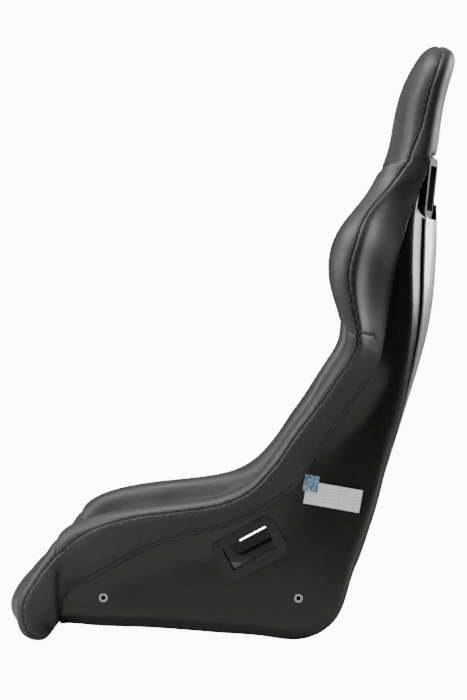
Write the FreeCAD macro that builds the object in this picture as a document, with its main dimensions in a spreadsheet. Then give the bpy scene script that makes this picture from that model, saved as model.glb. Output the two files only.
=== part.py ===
import FreeCAD, Part
import Sketcher
import math
import os

# Fixed-back racing bucket seat. Front faces -Y, the occupant's left is +X, the floor is Z = 0.

doc = FreeCAD.newDocument("racing_seat")
Vec = FreeCAD.Vector

# Driving dimensions, in millimetres and degrees.
sizes = {
    "wall_gauge": 4,
    "skin_gauge": 2.4,
    "cover_gauge": 2,
    "fit_gap": 0.3,
    "bolster_foam": 25,
    "foam_clearance": 1,
    "corner_radius": 25,
    "rim_inset": 22,
    "side_wall_x": 205,
    "insert_spacing": 290,
    "insert_front_y": -185,
    "insert_height": 65,
    "insert_bore": 6.8,
    "insert_body": 11,
    "insert_ring": 13,
    "insert_ring_depth": 1.6,
    "insert_length": 16,
    "sleeve_gauge": 2.5,
    "plate_length": 350,
    "plate_depth": 46,
    "plate_gauge": 3,
    "lap_length": 104,
    "lap_depth": 66,
    "lap_corner": 16,
    "lap_slot_length": 73,
    "lap_slot_depth": 37,
    "lap_slot_corner": 9,
    "lap_flange": 4,
    "lap_sleeve": 34,
    "lap_inner_drop": 32,
    "lap_centre_y": 32,
    "lap_centre_z": 139,
    "lap_tilt": 28.4,
    "shoulder_length": 92,
    "shoulder_depth": 78,
    "shoulder_corner": 16,
    "shoulder_slot_length": 68,
    "shoulder_slot_depth": 54,
    "shoulder_slot_corner": 10,
    "shoulder_flange": 4,
    "shoulder_sleeve": 30,
    "shoulder_inner_drop": 42,
    "shoulder_turn": 12,
    "shoulder_lean": 6,
    "shoulder_centre_x": 82,
    "shoulder_centre_y": 303,
    "shoulder_centre_z": 676,
    "crotch_length": 96,
    "crotch_depth": 56,
    "crotch_corner": 14,
    "crotch_slot_length": 68,
    "crotch_slot_depth": 28,
    "crotch_slot_corner": 9,
    "crotch_flange": 4,
    "crotch_sleeve": 8,
    "crotch_centre_y": -120,
    "crotch_centre_z": 18,
    "label_length": 84,
    "label_depth": 34,
    "label_centre_y": 156,
    "label_centre_z": 216,
    "foil_length": 22,
    "foil_depth": 25,
    "foil_centre_y": 123.5,
    "foil_centre_z": 236,
    "label_tilt": -9.9,
    "paper_gauge": 0.4,
    "skin_foot": 96,
    "skin_top": 652,
}

sheet = doc.addObject("Spreadsheet::Sheet", "sizes")
for row, (alias, value) in enumerate(sizes.items(), 1):
    sheet.set("A%d" % row, alias)
    sheet.set("B%d" % row, str(value))
    sheet.setAlias("B%d" % row, alias)
doc.recompute()


def size(alias):
    return float(sheet.get(alias))


wall = size("wall_gauge")
skin = size("skin_gauge")
cover = size("cover_gauge")
gap = size("fit_gap")
corner = size("corner_radius")
foamDepth = size("bolster_foam")
foamRoom = size("foam_clearance")
made = {}

# Sections of the tub. Each lies in a plane that holds the X direction and runs from an outer point of the
# side wall (bottom or back) to the crest of the bolster. Columns: outer (y, z), crest (y, z), then
# distances from the outer point to the seam and to the outer edge of the leather, half-widths of the base,
# the rim and the bulge of the leather, and the belly of the back.
tubTable = [
    ((-252, 22), (-252, 154), 108, 22, 200, 222, 244, 0),
    ((-205, 21), (-205, 186), 146, 69, 205, 226, 249, 0),
    ((-140, 18.5), (-140, 200), 170, 108, 205, 227, 250, 0),
    ((-75, 15), (-75, 208), 182, 137, 205, 226, 249, 0),
    ((-10, 10), (-14, 218), 196, 158, 205, 224, 246, 0),
    ((55, 5), (32, 240), 222, 183, 205, 219, 240, 0),
    ((114, 2), (68, 280), 266, 213, 205, 215, 235, 0),
    ((160, 30), (89, 312), 274, 215, 204, 214, 234, -2),
    ((184, 92), (109, 340), 243, 188, 201, 214, 234, -3.5),
    ((214, 175), (132, 375), 198, 150, 198, 219, 240, -3.5),
    ((237, 260), (155, 409), 153, 107, 195, 233, 254, 0),
    ((256, 335), (171, 440), 116, 73, 192, 249, 269, 10),
    ((269, 405), (174, 466), 92, 49, 190, 258, 277, 18),
    ((278, 475), (163, 502), 97, 42, 188, 262, 280, 26),
    ((279, 540), (154, 548), 101, 32, 186, 260, 278, 33),
    ((280, 595), (159, 592), 91, 20, 176, 244, 262, 35),
    ((284, 640), (180, 632), 79, 9, 156, 202, 221, 31),
    ((297, 682), (207, 665), 63, 5, 130, 150, 169, 18),
    ((311, 722), (233, 708), 43, 4, 113, 119, 135, 2),
]
tubNames = ["outer", "crest", "seam", "edge", "base", "rim", "bulge", "belly"]
tub = [dict(zip(tubNames, row)) for row in tubTable]
kneeIndex = 0
rearCornerIndex = 6
backIndex = 8
waistIndex = 12
shoulderIndex = 15
neckIndex = 18

# The tub goes on as a shallow tongue inside the headrest, with the same columns.
tongueTable = [
    ((306, 740), (240, 728), 0, 0, 102, 108, 0, 0),
    ((306, 768), (251, 766), 0, 0, 92, 93, 0, 0),
    ((315, 820), (260, 822), 0, 0, 84, 85, 0, 0),
    ((322, 850), (268, 853), 0, 0, 72, 73, 0, 0),
]
tongue = [dict(zip(tubNames, row)) for row in tongueTable]



def directed(stations):
    for station in stations:
        (y0, z0), (y1, z1) = station["outer"], station["crest"]
        reach = math.hypot(y1 - y0, z1 - z0)
        station["reach"] = reach
        station["way"] = ((y1 - y0) / reach, (z1 - z0) / reach)


directed(tub)
directed(tongue)


def place(station, point):
    """A point (x, distance from the outer point) of a section, in space."""
    x, v = point
    (y0, z0), (dy, dz) = station["outer"], station["way"]
    return Vec(x, y0 + v * dy, z0 + v * dz)


def mirrored(half):
    """A half outline that ends on the centre line, continued to the other side."""
    return half + [(-x, v) for x, v in reversed(half[:-1])]


def shifted(points, distance):
    """An open outline moved sideways, to the right of its direction of travel."""
    moved = []
    last = len(points) - 1
    for index, (x, v) in enumerate(points):
        x0, v0 = points[max(index - 1, 0)]
        x1, v1 = points[min(index + 1, last)]
        length = math.hypot(x1 - x0, v1 - v0)
        moved.append((x + (v1 - v0) / length * distance, v - (x1 - x0) / length * distance))
    return moved


def spline(points):
    """A curve through points in space, with even parameters so that all sections match."""
    if len(points) == 2:
        return Part.LineSegment(points[0], points[1]).toShape()
    curve = Part.BSplineCurve()
    curve.interpolate(Points=points, Parameters=[float(i) for i in range(len(points))])
    return curve.toShape()


def band(station, outline, inner):
    """A closed wire between two open outlines of one section."""
    a = [place(station, p) for p in outline]
    b = [place(station, p) for p in reversed(inner)]
    edges = [spline(a), Part.LineSegment(a[-1], b[0]).toShape(), spline(b),
             Part.LineSegment(b[-1], a[0]).toShape()]
    return Part.Wire(edges)


def smoothed(points, seamPoint, counts):
    """A smooth outline through a few points, read off in two parts that meet at the seam."""
    curve = Part.BSplineCurve()
    curve.interpolate(Points=[Vec(x, v, 0) for x, v in points])
    seamAt = curve.parameter(Vec(seamPoint[0], seamPoint[1], 0))
    first, last = curve.FirstParameter, curve.LastParameter
    slack = (last - first) * 0.001

    def read(start, end, count):
        steps = [curve.value(start + (end - start) * i / (count - 1)) for i in range(count)]
        return [(p.x, p.y) for p in steps]
    return (read(first, seamAt - slack, counts[0]), read(seamAt + slack, last, counts[1]),
            read(first, last, counts[0] + counts[1]))


def feature(name, shape):
    """A sub-part whose shape is given directly."""
    piece = doc.addObject("Part::Feature", name)
    piece.Label = name
    piece.Shape = shape
    made[name] = piece
    return piece


def twin(name, source):
    """The right-hand piece, mirrored from the left-hand one."""
    piece = doc.addObject("Part::Mirroring", name)
    piece.Label = name
    piece.Source = source
    piece.Base = Vec(0, 0, 0)
    piece.Normal = Vec(1, 0, 0)
    made[name] = piece
    return piece


def pair(name, shape):
    """A left-hand piece and its mirror image."""
    left = feature(name + "_left", shape)
    twin(name + "_right", left)


# The tub wall.

def rimOf(station):
    """Distance from the outer point to the rim of the laminate, inside the bolster."""
    return station["reach"] - size("rim_inset")


def wallX(station, v):
    """Half-width of the outside of the side wall: straight, then flared under the leather."""
    start = max(corner, station["edge"] - 30)
    t = max(0.0, (v - start) / (rimOf(station) - start))
    return station["base"] + (station["rim"] - station["base"]) * t ** 1.3


def backBow(station, q):
    """How far the back stands in from the line of the corners, at a share of the half-width."""
    return -station["belly"] * (1 - q ** 3)


def tubOutline(station, top):
    """Half of the outside of the tub, from the rim down the wall and round the corner to the middle."""
    half = []
    for t in (1, 0.8, 0.6, 0.4, 0.2, 0):
        v = corner + (top - corner) * t
        half.append((wallX(station, v), v))
    for angle in (-30, -60, -90):
        a = math.radians(angle)
        half.append((station["base"] - corner + corner * math.cos(a), corner + corner * math.sin(a)))
    flat = station["base"] - corner
    for q in (0.66, 0.33, 0):
        half.append((flat * q, backBow(station, q)))
    return half


def tubSection(station):
    outside = mirrored(tubOutline(station, rimOf(station)))
    return band(station, outside, shifted(outside, wall))


# Leather pads over the rim.


outerCount = 9
innerCount = 17


def padCurves(station):
    """Outside of the leather, from its outer edge over the seam and the crest to the foot inside."""
    rim = rimOf(station)
    edge, seam, reach = station["edge"], station["seam"], station["reach"]
    lift = station["bulge"] - wallX(station, seam)
    inner = wall + foamDepth
    proud = cover + gap
    foot = min(46.0, reach * 0.22)
    points = [(wallX(station, edge) + proud, edge)]
    for t, share in ((0.3, 0.5), (0.68, 0.9)):
        v = edge + (seam - edge) * t
        points.append((wallX(station, v) + proud + (lift - proud) * share, v))
    rimX = station["rim"]
    seamPoint = (station["bulge"], seam)
    points += [seamPoint, (rimX + (station["bulge"] - rimX) * 0.45, reach - 1.5),
               (rimX - 6, reach), (rimX - inner * 0.8, reach - 9)]
    for t in (1.0, 0.7, 0.35, 0.0):
        v = foot + (rim - foot) * t
        points.append((wallX(station, v) - inner - (1 - t) * 4, v - 4 * t))
    return smoothed(points, seamPoint, (outerCount, innerCount))


def ringWire(station, curves):
    """A closed wire from open outlines that follow each other, joined by straight edges."""
    edges = []
    lines = [[place(station, p) for p in curve] for curve in curves]
    for line, following in zip(lines, lines[1:] + lines[:1]):
        edges.append(spline(line))
        edges.append(Part.LineSegment(line[-1], following[0]).toShape())
    return Part.Wire(edges)


def padFoamSection(station):
    """Foam between the leather and the wall: an arch that straddles the rim."""
    whole = padCurves(station)[2]
    skinLine = shifted(whole[2:], -(cover + foamRoom))
    top = rimOf(station) + foamRoom
    outside = []
    inside = []
    for t in (0, 0.33, 0.67, 1):
        v = skinLine[0][1] + (top - skinLine[0][1]) * t
        outside.append((wallX(station, v) + foamRoom, v))
        v = skinLine[-1][1] + (top - skinLine[-1][1]) * t
        inside.append((wallX(station, v) - wall - 2 * foamRoom, v))
    return ringWire(station, [skinLine, inside, outside[::-1]])


def outerCoverSection(station):
    line = padCurves(station)[0]
    return band(station, line, shifted(line, -cover))


def innerCoverSection(station):
    line = padCurves(station)[1]
    return band(station, line, shifted(line, -cover))


# The rounded front. Sections fan about an edge near the floor. Columns: angle forward from upright, reach
# of the bolster, seam, edge of the leather, reach on the centre line, half-width of the bulge.
frontAxis = (-252, 22)
frontTable = [
    (0, 132, 108, 22, 92, 244),
    (7, 115, 96, 18, 93, 243.5),
    (15, 100, 85, 15, 93, 242.5),
    (25, 88, 75, 13, 91, 241),
    (38, 79, 67, 12, 88, 239),
    (58, 71, 58, 9, 86, 236),
    (76, 63, 50, 7, 84, 233),
    (98, 56, 42, 6, 60, 230),
    (116, 43, 32, 6, 40, 228),
    (132, 27, 20, 6, 28, 226),
]
frontNames = ["angle", "crestV", "seam", "edge", "centre", "bulge"]
front = [dict(zip(frontNames, row)) for row in frontTable]
for station in front:
    a = math.radians(station["angle"])
    station["outer"] = frontAxis
    station["way"] = (-math.sin(a), math.cos(a))


def frontCurves(station):
    """Outer panel and half of the top panel of the front pad."""
    edge, seam, crestV = station["edge"], station["seam"], station["crestV"]
    bulge = station["bulge"]
    dip = crestV - station["centre"]
    points = [(bulge - 34, edge), (bulge - 14, edge + (seam - edge) * 0.3),
              (bulge - 3, edge + (seam - edge) * 0.68), (bulge, seam),
              (bulge - 10, crestV - (crestV - seam) * 0.18), (bulge - 25, crestV)]
    for x, share in ((bulge - 48, 0.2), (bulge - 68, 0.55), (bulge - 95, 0.85), (bulge - 135, 1.0),
                     (bulge - 180, 1.0), (0, 1.0)):
        points.append((x, crestV - dip * share))
    return smoothed(points, (bulge, seam), (outerCount, innerCount))


def frontFoamSection(station):
    """A full-width block of foam behind the front leather."""
    line = shifted(frontCurves(station)[2][1:], -(cover + foamRoom))
    line[-1] = (0, line[-1][1])
    line = mirrored(line)
    core = 5.0
    return ringWire(station, [line, [(line[-1][0], core), (line[0][0], core)]])


def frontCoverSection(station):
    topPart = frontCurves(station)[1]
    inner = shifted(topPart, -cover)
    inner[-1] = (0, inner[-1][1])
    return band(station, mirrored(topPart), mirrored(inner))


def frontSideSection(station):
    line = frontCurves(station)[0]
    return band(station, line, shifted(line, -cover))


def lofted(sections):
    return Part.makeLoft(sections, True)


def between(first, last, section):
    return lofted([section(tub[index]) for index in range(first, last + 1)])


def straightTool(long, deep, radius, height):
    """A rounded block centred on the origin, its height along Z, for cutting slots."""
    block = Part.makeBox(long, deep, height, Vec(-long / 2, -deep / 2, -height / 2))
    upright = [edge for edge in block.Edges if abs(edge.tangentAt(edge.FirstParameter).z) > 0.9]
    return block.makeFillet(radius, upright)


# Places of the belt slots and the inserts, each with its own X along the slot and Z outwards.

def framed(centre, along, outward):
    across = outward.cross(along)
    return FreeCAD.Placement(centre, FreeCAD.Rotation(along, across, outward, "ZXY"))


tilt = math.radians(size("lap_tilt"))
lapPlace = framed(Vec(size("side_wall_x"), size("lap_centre_y"), size("lap_centre_z")),
                  Vec(0, math.cos(tilt), math.sin(tilt)), Vec(1, 0, 0))
turn = math.radians(size("shoulder_turn"))
lean = math.radians(size("shoulder_lean"))
shoulderOut = Vec(math.sin(turn) * math.cos(lean), math.cos(turn) * math.cos(lean), -math.sin(lean))
shoulderUp = Vec(0, math.sin(lean), math.cos(lean))
shoulderUp = (shoulderUp - shoulderOut * shoulderUp.dot(shoulderOut)).normalize()
shoulderPlace = framed(Vec(size("shoulder_centre_x"), size("shoulder_centre_y"),
                           size("shoulder_centre_z")), shoulderUp, shoulderOut)
crotchPlace = framed(Vec(0, size("crotch_centre_y"), size("crotch_centre_z")), Vec(1, 0, 0), Vec(0, 0, -1))


def placedCopy(shape, placement):
    copy = shape.copy()
    copy.Placement = placement
    return copy


def bothSides(shape):
    return [shape, shape.mirror(Vec(0, 0, 0), Vec(1, 0, 0))]


def slotTool(kind, extra, height, placement):
    """A cutter as large as a bezel's sleeve, with some clearance."""
    tool = straightTool(size(kind + "_slot_length") + extra, size(kind + "_slot_depth") + extra,
                        size(kind + "_slot_corner") + extra / 2, height)
    return placedCopy(tool, placement)


sleeve = 2 * size("sleeve_gauge") + 2 * gap
lapHole = slotTool("lap", sleeve, 120, lapPlace)
shoulderHole = slotTool("shoulder", sleeve, 150, shoulderPlace)
crotchHole = slotTool("crotch", sleeve, 90, crotchPlace)
insertSpots = [(size("insert_front_y"), size("insert_height")),
               (size("insert_front_y") + size("insert_spacing"), size("insert_height"))]
insertHoles = [Part.makeCylinder(size("insert_body") / 2 + gap / 2, 60, Vec(170, y, z), Vec(1, 0, 0))
               for y, z in insertSpots]

bezelRoom = placedCopy(straightTool(size("shoulder_length") + 2, size("shoulder_depth") + 2,
                                    size("shoulder_corner") + 1, 30),
                       shoulderPlace.multiply(FreeCAD.Placement(Vec(0, 0, 15), FreeCAD.Rotation())))
frontBezelRoom = bezelRoom.copy()
frontBezelRoom.Placement = shoulderPlace.multiply(
    FreeCAD.Placement(Vec(0, 0, -size("shoulder_inner_drop") - 15), FreeCAD.Rotation()))
plateRoom = Part.makeBox(size("plate_gauge") + 5, size("plate_length") + 2, size("plate_depth") + 2,
                         Vec(size("side_wall_x") - 16, size("insert_front_y") + size("insert_spacing") / 2
                             - size("plate_length") / 2 - 1, size("insert_height") - size("plate_depth") / 2 - 1))

# Front pad.
kneeGap = Vec(0, -0.6, 0)


def frontPiece(section):
    piece = lofted([section(station) for station in front])
    piece.translate(kneeGap)
    return piece


feature("lip_foam", frontPiece(frontFoamSection))
feature("lip_cover", frontPiece(frontCoverSection))
pair("nose_cover", frontPiece(frontSideSection))

# Side pads. The lap slot goes through the thigh pads.
shoulderCuts = [shoulderHole, bezelRoom, frontBezelRoom]
pair("thigh_foam", between(kneeIndex, waistIndex, padFoamSection).cut([lapHole, plateRoom] + insertHoles))
pair("wing_foam", between(waistIndex, neckIndex, padFoamSection).cut(shoulderCuts))
pair("thigh_cover_outer", between(kneeIndex, waistIndex, outerCoverSection))
pair("wing_cover_outer", between(waistIndex, neckIndex, outerCoverSection))
pair("thigh_cover_inner", between(kneeIndex, waistIndex, innerCoverSection).cut(lapHole))
pair("wing_cover_inner", between(waistIndex, neckIndex, innerCoverSection).cut(shoulderCuts))

# Tub.
tubShape = lofted([tubSection(station) for station in tub + tongue])
cutters = bothSides(lapHole) + bothSides(shoulderHole) + bothSides(bezelRoom) + [crotchHole]
for hole in insertHoles:
    cutters += bothSides(hole)
feature("seat_shell", tubShape.cut(cutters))


# Silver skin on the back, inside the line of the corners.

def skinSection(station):
    flat = (station["base"] - corner) * 0.86
    shares = [q * 0.86 for q in (1, 0.8, 0.6, 0.4, 0.2, 0)]
    under = mirrored([(flat * q / 0.86, backBow(station, q) - 2 * gap) for q in shares])
    return band(station, under, [(x, v - skin) for x, v in under])


skinShape = between(rearCornerIndex + 1, neckIndex, skinSection)
skinTrim = Part.makeBox(500, 400, size("skin_top") - size("skin_foot"), Vec(-250, 0, size("skin_foot")))
feature("back_panel", skinShape.common(skinTrim).cut(bothSides(bezelRoom)))


# Foam and pads in the middle of the tub.

def blockSection(station, low, high, half, bow):
    """A slab between two distances from the outer point, its front or top bowed by a little."""
    under = mirrored([(half * q, low(q)) for q in (1, 0.75, 0.5, 0.25, 0)])
    over = mirrored([(half * q, high + bow * (1 - q ** 4)) for q in (1, 0.75, 0.5, 0.25, 0)])
    return ringWire(station, [under, over[::-1]])


panTops = [58, 54, 47, 41, 38, 38]
cushionTops = [84, 80, 74, 70, 68, 68]
panStations = tub[kneeIndex:kneeIndex + len(panTops)]


def panHalf(station):
    return station["base"] - wall - foamDepth - 6


def panSection(station, top):
    return blockSection(station, lambda q: wall + foamRoom, top, panHalf(station), 0)


def seatSection(station, low, top):
    return blockSection(station, lambda q: low + gap, top - 5, panHalf(station) - 1, 5)


panFoam = lofted([panSection(*pairing) for pairing in zip(panStations, panTops)])
panFoam.translate(Vec(0, 0.6, 0))
crotchRoom = placedCopy(straightTool(size("crotch_length") + 2, size("crotch_depth") + 2,
                                     size("crotch_corner") + 1, 160), crotchPlace)
feature("pan_foam", panFoam.cut(crotchRoom))
cushion = lofted([seatSection(*row) for row in zip(panStations, [top + 1.5 for top in panTops], cushionTops)])
cushion.translate(Vec(0, 0.6, 0))
feature("seat_cushion", cushion.cut(slotTool("crotch", sleeve + 6, 260, crotchPlace)))

backFoamFace = 16.0
backPadFace = 46.0


def squared(index):
    """A section of the tub turned square to the back, for the pads that lie on the back."""
    station = dict(tub[index])
    (y0, z0), (y1, z1) = tub[index - 1]["outer"], tub[index + 1]["outer"]
    length = math.hypot(y1 - y0, z1 - z0)
    station["way"] = (-(z1 - z0) / length, (y1 - y0) / length)
    return station


backStations = [squared(index) for index in range(backIndex, shoulderIndex + 1)]
yokeStations = tub[shoulderIndex:neckIndex + 1]


def behind(station):
    """The inside of the back of the tub, at a share of the foam's half-width."""
    ratio = panHalf(station) / (station["base"] - corner)
    return lambda q: wall + foamRoom + backBow(station, q * ratio)


backFoam = lofted([blockSection(station, behind(station), backFoamFace, panHalf(station), 0)
                   for station in backStations])
feature("back_foam", backFoam)
backPad = lofted([blockSection(station, lambda q: backFoamFace + 1.5 + gap, backPadFace - 6,
                               panHalf(station) - 1, 6) for station in backStations])
feature("back_cushion", backPad)
yokeFoam = lofted([blockSection(station, behind(station), 26, panHalf(station), 0)
                   for station in yokeStations])
yokeFoam.translate(Vec(0, 0, 0.6))
shoulderRooms = [room for cutter in shoulderCuts for room in bothSides(cutter)]
feature("yoke_foam", yokeFoam.cut(shoulderRooms))
yokeCover = lofted([blockSection(station, lambda q: 26 + gap, 26 + gap + cover, panHalf(station), 0)
                    for station in yokeStations])
yokeCover.translate(Vec(0, 0, 0.6))
feature("yoke_cover", yokeCover.cut(shoulderRooms))

# Hook-and-loop strips between foam and pads.


def stripBetween(stations, heights, x):
    """A thin strip along the tub at one side, between two layers."""
    rows = []
    for station, v in zip(stations, heights):
        corners = [(x - 12, v + gap), (x + 12, v + gap), (x + 12, v + 1.2), (x - 12, v + 1.2)]
        rows.append(Part.makePolygon([place(station, p) for p in corners + corners[:1]]))
    return lofted(rows)


seatStrips = [stripBetween(panStations[1:5], panTops[1:5], x) for x in (-110, 110)]
for strip in seatStrips:
    strip.translate(Vec(0, 0.6, 0))
feature("seat_hook_strips", Part.makeCompound(seatStrips))
backStrips = [stripBetween(backStations[1:-1], [backFoamFace] * len(backStations), x) for x in (-95, 95)]
feature("back_hook_strips", Part.makeCompound(backStrips))

# Headrest. Columns: back (y, z), front (y, z), half-width, place of the seam from the back.
headTable = [
    ((316, 727), (234, 711), 132, 46),
    ((323, 770), (249, 766), 124, 33),
    ((332, 820), (262, 825), 120, 29),
    ((340, 850), (274, 854), 113, 27),
    ((345, 872), (287, 876), 94, 25),
    ((341, 887), (300, 890), 62, 18),
    ((330, 895), (311, 896), 26, 9),
]
headNames = ["outer", "crest", "half", "seam"]
head = [dict(zip(headNames, row)) for row in headTable]
directed(head)


def headSection(station, inset):
    """A closed, squarish oval across the headrest."""
    middle = station["reach"] / 2
    points = []
    for step in range(32):
        a = 2 * math.pi * step / 32
        c, n = math.cos(a), math.sin(a)
        x = (station["half"] - inset) * math.copysign(abs(c) ** 0.62, c)
        v = middle + (middle - inset) * math.copysign(abs(n) ** 0.72, n)
        points.append(place(station, (x, v)))
    curve = Part.BSplineCurve()
    curve.interpolate(Points=points, PeriodicFlag=True, Parameters=[float(i) for i in range(33)])
    return Part.Wire([curve.toShape()])


headOuter = lofted([headSection(station, 0) for station in head])
headInner = lofted([headSection(station, cover) for station in head])
headCore = lofted([headSection(station, cover + gap) for station in head])
seamRow = [place(station, (0, station["seam"])) for station in head]
seamRow[-1].z += 12
seamRow[0].z -= 12
bladeEdges = [spline(seamRow)]
for start, end in ((seamRow[-1], Vec(0, 420, 940)), (Vec(0, 420, 940), Vec(0, 420, 640)),
                   (Vec(0, 420, 640), seamRow[0])):
    bladeEdges.append(Part.LineSegment(start, end).toShape())
blade = Part.Face(Part.Wire(bladeEdges))
blade.translate(Vec(-300, 0, 0))
rearSide = blade.extrude(Vec(600, 0, 0))
leather = headOuter.cut(headInner)
rearLeather = leather.common(rearSide)
rearLeather.translate(Vec(0, 0.1, 0))
frontLeather = leather.cut(rearSide)
frontLeather.translate(Vec(0, -0.1, 0))
feature("headrest_cover_front", frontLeather)
feature("headrest_cover_rear", rearLeather)


headFoam = headCore.cut(tubShape)
feature("headrest_foam", max(headFoam.Solids, key=lambda solid: solid.Volume))

# Bezels, plates, inserts and labels are bodies with sketches.


def sketchOn(body, name, lift):
    plane = [item for item in body.Origin.OriginFeatures if item.Role == "XY_Plane"][0]
    sketch = body.newObject("Sketcher::SketchObject", name)
    sketch.AttachmentSupport = [(plane, "")]
    sketch.MapMode = "FlatFace"
    sketch.AttachmentOffset = FreeCAD.Placement(Vec(0, 0, lift), FreeCAD.Rotation())
    return sketch


def rectangleSketch(body, name, lift, longRule, deepRule):
    """A rectangle centred on the body's origin, its two sizes bound to the sheet."""
    sketch = sketchOn(body, name, lift)
    corners = [Vec(-20, -10, 0), Vec(20, -10, 0), Vec(20, 10, 0), Vec(-20, 10, 0)]
    for start, end in zip(corners, corners[1:] + corners[:1]):
        sketch.addGeometry(Part.LineSegment(start, end))
    for index in range(4):
        sketch.addConstraint(Sketcher.Constraint("Coincident", index, 2, (index + 1) % 4, 1))
    for index, kind in enumerate(("Horizontal", "Vertical", "Horizontal", "Vertical")):
        sketch.addConstraint(Sketcher.Constraint(kind, index))
    sketch.addConstraint(Sketcher.Constraint("Symmetric", 0, 1, 1, 2, -1, 1))
    longIndex = sketch.addConstraint(Sketcher.Constraint("DistanceX", 0, 1, 0, 2, 40))
    deepIndex = sketch.addConstraint(Sketcher.Constraint("DistanceY", 1, 1, 1, 2, 20))
    sketch.renameConstraint(longIndex, "long")
    sketch.renameConstraint(deepIndex, "deep")
    sketch.setExpression("Constraints.long", longRule)
    sketch.setExpression("Constraints.deep", deepRule)
    return sketch


def padOf(body, name, sketch, rule, reverse=False):
    pad = body.newObject("PartDesign::Pad", name)
    pad.Profile = sketch
    pad.setExpression("Length", rule)
    pad.Reversed = reverse
    doc.recompute()
    return pad


def roundUprights(body, name, base, rule, pick):
    """A fillet on the upright edges that pick accepts."""
    chosen = []
    for index, edge in enumerate(base.Shape.Edges, 1):
        upright = abs(edge.tangentAt(edge.FirstParameter).z) > 0.9
        if upright and pick(edge.CenterOfMass):
            chosen.append("Edge%d" % index)
    fillet = body.newObject("PartDesign::Fillet", name)
    fillet.Base = (base, chosen)
    fillet.setExpression("Radius", rule)
    doc.recompute()
    return fillet


def bodyNamed(name, placement):
    body = doc.addObject("PartDesign::Body", name)
    body.Label = name
    body.Placement = placement
    made[name] = body
    return body


def bezelBody(name, kind, placement, sleeveRule):
    """A rounded flange, on a sleeve that lines the slot where sleeveRule gives it a length."""
    body = bodyNamed(name, placement)
    rules = ["sizes.%s_%s" % (kind, word) for word in ("length", "depth", "corner", "flange")]
    flange = rectangleSketch(body, "flangeOutline", 0, rules[0], rules[1])
    last = padOf(body, "flange", flange, rules[3])
    last = roundUprights(body, "flangeCorners", last, rules[2], lambda point: True)
    slotLong, slotDeep = "sizes.%s_slot_length" % kind, "sizes.%s_slot_depth" % kind
    ways = " + 2 * sizes.sleeve_gauge"
    if sleeveRule:
        ring = rectangleSketch(body, "sleeveOutline", 0, slotLong + ways, slotDeep + ways)
        last = padOf(body, "sleeve", ring, sleeveRule, True)
        last = roundUprights(body, "sleeveCorners", last,
                             "sizes.%s_slot_corner + sizes.sleeve_gauge" % kind,
                             lambda point: point.z < 0)
        clear = ""
    else:
        clear = ways + " + 2 * sizes.fit_gap"
    hole = rectangleSketch(body, "slotOutline", 0, slotLong + clear, slotDeep + clear)
    before = last.Shape.Volume
    pocket = body.newObject("PartDesign::Pocket", "slot")
    pocket.Profile = hole
    pocket.Type = "ThroughAll"
    pocket.Midplane = True
    doc.recompute()
    if pocket.Shape.Volume > before - 100:
        raise RuntimeError(name + ": the slot cuts nothing")
    radius = "sizes.%s_slot_corner" % kind + (" + sizes.sleeve_gauge" if clear else "")
    halfLong = size(kind + "_slot_length") / 2 + size("sleeve_gauge") + gap + 1
    halfLong = min(halfLong, size(kind + "_length") / 2 - 3)
    roundUprights(body, "slotCorners", pocket, radius, lambda point: abs(point.x) < halfLong
                  and abs(point.y) < size(kind + "_slot_depth") / 2 + size("sleeve_gauge") + gap + 0.2
                  and (sleeveRule == "" or abs(point.x) < size(kind + "_slot_length") / 2 + 0.2))
    return body


def shiftedPlace(placement, distance, flip=False):
    """The same frame moved outwards, and turned over where the piece faces inwards."""
    local = FreeCAD.Placement(Vec(0, 0, distance), FreeCAD.Rotation(Vec(1, 0, 0), 180 if flip else 0))
    return placement.multiply(local)


lapOuter = bezelBody("lap_bezel_outer_left", "lap", shiftedPlace(lapPlace, 2 * gap), "sizes.lap_sleeve")
twin("lap_bezel_outer_right", lapOuter)
lapInner = bezelBody("lap_bezel_inner_left", "lap", shiftedPlace(lapPlace, -size("lap_inner_drop"), True), "")
twin("lap_bezel_inner_right", lapInner)
shoulderRear = bezelBody("shoulder_bezel_rear_left", "shoulder", shoulderPlace, "sizes.shoulder_sleeve")
twin("shoulder_bezel_rear_right", shoulderRear)
shoulderFront = bezelBody("shoulder_bezel_front_left", "shoulder",
                          shiftedPlace(shoulderPlace, -size("shoulder_inner_drop"), True), "")
twin("shoulder_bezel_front_right", shoulderFront)
bezelBody("crotch_bezel_lower", "crotch", shiftedPlace(crotchPlace, 2 * gap), "sizes.crotch_sleeve")
bezelBody("crotch_bezel_upper", "crotch", shiftedPlace(crotchPlace, -wall - 2 * gap, True), "")

# Steel plates laminated against the inside of the side walls, with a hole for each insert.
plateBase = bodyNamed("mount_plate_left", framed(
    Vec(size("side_wall_x") - 11, size("insert_front_y") + size("insert_spacing") / 2, size("insert_height")),
    Vec(0, 1, 0), Vec(1, 0, 0)))
plateSketch = rectangleSketch(plateBase, "outline", 0, "sizes.plate_length", "sizes.plate_depth")
platePad = padOf(plateBase, "plate", plateSketch, "sizes.plate_gauge")
holeSketch = sketchOn(plateBase, "holeOutlines", 0)
holeEnds = ((-1, (0, 3, -1, 1)), (1, (-1, 1, 1, 3)))
for index, (side, ends) in enumerate(holeEnds):
    holeSketch.addGeometry(Part.Circle(Vec(side * size("insert_spacing") / 2, 0, 0), Vec(0, 0, 1),
                                       size("insert_body") / 2))
    holeSketch.addConstraint(Sketcher.Constraint("PointOnObject", index, 3, -1))
    holeSketch.addConstraint(Sketcher.Constraint("Diameter", index, size("insert_body")))
    holeSketch.setExpression("Constraints[%d]" % (holeSketch.ConstraintCount - 1),
                             "sizes.insert_body + sizes.fit_gap")
    holeSketch.addConstraint(Sketcher.Constraint("DistanceX", *ends, size("insert_spacing") / 2))
    holeSketch.setExpression("Constraints[%d]" % (holeSketch.ConstraintCount - 1),
                             "sizes.insert_spacing / 2")
plateHoles = plateBase.newObject("PartDesign::Pocket", "holes")
plateHoles.Profile = holeSketch
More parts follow.
